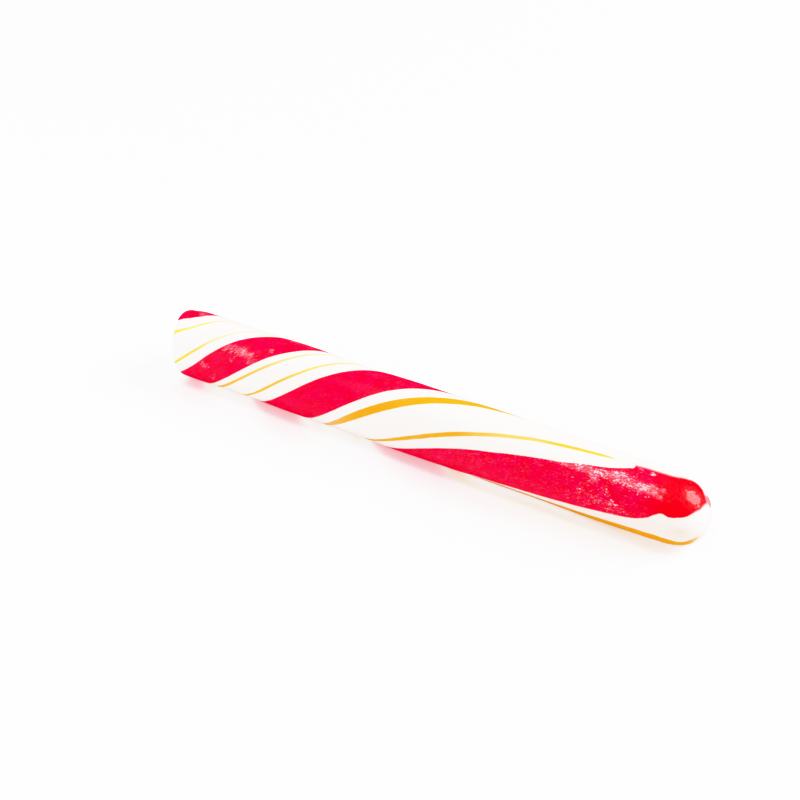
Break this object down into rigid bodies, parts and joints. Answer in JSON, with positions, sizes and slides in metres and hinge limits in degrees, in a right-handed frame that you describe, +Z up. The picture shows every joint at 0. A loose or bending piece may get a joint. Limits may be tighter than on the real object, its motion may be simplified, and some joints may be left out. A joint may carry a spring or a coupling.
{
  "type": "striped candy stick",
  "caption": "Hand-twisted pulled-sugar stick, white with broad red bands and thin golden lines, cut straight at one end and rounded to a knob at the other.",
  "frame": {"origin": "centre of the bounding box, at its bottom, on the surface that the stick lies on", "axes": "+X along the stick from its cut end to its rounded knob, +Z up, -Y towards the side that the picture shows"},
  "size_m": [0.163, 0.0198, 0.0194],
  "materials": {
    "sugar": "satin pulled sugar, creamy white with fused stripes of crimson red and golden yellow sugar, and a glossy red knob"
  },
  "bodies": {
    "root": {"candy_stick": "sugar"}
  },
  "joints": []
}
